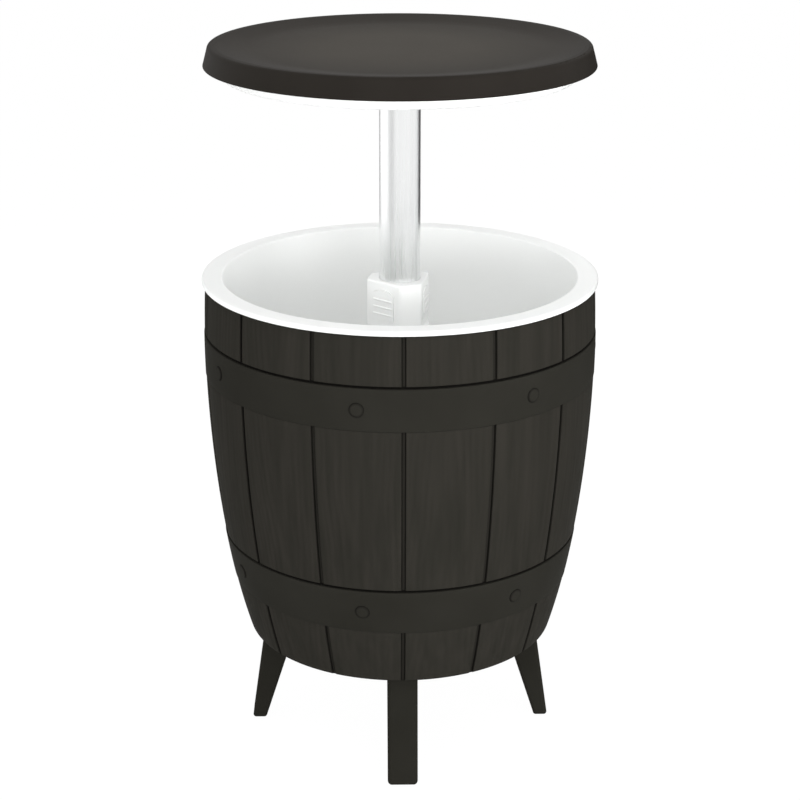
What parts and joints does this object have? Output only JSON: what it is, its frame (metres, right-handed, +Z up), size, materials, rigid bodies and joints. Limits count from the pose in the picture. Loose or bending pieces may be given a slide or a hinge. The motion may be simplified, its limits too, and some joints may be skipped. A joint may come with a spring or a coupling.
{
  "type": "cooler side table",
  "caption": "Barrel-shaped patio cooler on splayed legs, with a bucket inside and a round table top that lifts on a locking centre post.",
  "frame": {"origin": "on the floor, below the barrel's axis", "axes": "+Z up along the barrel's axis and the post, -Y towards the front leg, +X to the right"},
  "size_m": [0.496, 0.4956, 0.905],
  "materials": {
    "stave_plastic": "moulded wood grain, matt",
    "hoop_plastic": "smooth moulded, matt",
    "top_plastic": "fine moulded texture, matt",
    "leg_plastic": "smooth moulded, matt",
    "bucket_plastic": "satin white",
    "liner_plastic": "satin white",
    "collar_plastic": "satin white",
    "bearing_plastic": "satin natural white",
    "drain_plastic": "satin light grey",
    "seal_rubber": "matt",
    "tube_aluminium": "brushed along its length",
    "fastener_steel": "zinc plated"
  },
  "bodies": {
    "base": {"barrel_shell": "stave_plastic", "upper_hoop": "hoop_plastic", "lower_hoop": "hoop_plastic", "upper_hoop_rivets": "hoop_plastic", "lower_hoop_rivets": "hoop_plastic", "leg_front": "leg_plastic", "leg_right": "leg_plastic", "leg_back": "leg_plastic", "leg_left": "leg_plastic", "base_plate": "leg_plastic", "cooler_bucket": "bucket_plastic", "column_sleeve": "bucket_plastic", "lock_collar": "collar_plastic", "guide_bush": "bearing_plastic", "drain_spout": "drain_plastic", "drain_nut": "drain_plastic", "sleeve_seal": "seal_rubber", "sleeve_screws": "fastener_steel", "collar_screws": "fastener_steel", "base_screws": "fastener_steel", "leg_screws": "fastener_steel"},
    "table": {"table_top": "top_plastic", "lid_liner": "liner_plastic", "lid_screws": "fastener_steel", "post_socket": "bearing_plastic", "socket_screws": "fastener_steel", "socket_pin": "fastener_steel", "post_tube": "tube_aluminium", "post_slider": "bearing_plastic", "slider_pin": "fastener_steel"},
    "stopper": {"drain_stopper": "drain_plastic", "stopper_washer": "seal_rubber"},
    "button_left": {"release_button_left": "collar_plastic"},
    "button_right": {"release_button_right": "collar_plastic"},
    "button_back": {"release_button_back": "collar_plastic"}
  },
  "joints": [
    {"name": "top_lift", "type": "slide", "parent": "base", "child": "table", "axis": [0, 0, 1], "range_m": [-0.261, 0]},
    {"name": "stopper_pull", "type": "slide", "parent": "base", "child": "stopper", "axis": [0, 0, 1], "range_m": [0, 0.025]},
    {"name": "button_left_press", "type": "slide", "parent": "base", "child": "button_left", "axis": [0.6561, 0.7547, 0], "range_m": [0, 0.0022], "stiffness_N_per_m": 3000},
    {"name": "button_right_press", "type": "slide", "parent": "base", "child": "button_right", "axis": [-0.9816, 0.1908, 0], "range_m": [0, 0.0022], "stiffness_N_per_m": 3000},
    {"name": "button_back_press", "type": "slide", "parent": "base", "child": "button_back", "axis": [0.3256, -0.9455, 0], "range_m": [0, 0.0022], "stiffness_N_per_m": 3000}
  ]
}
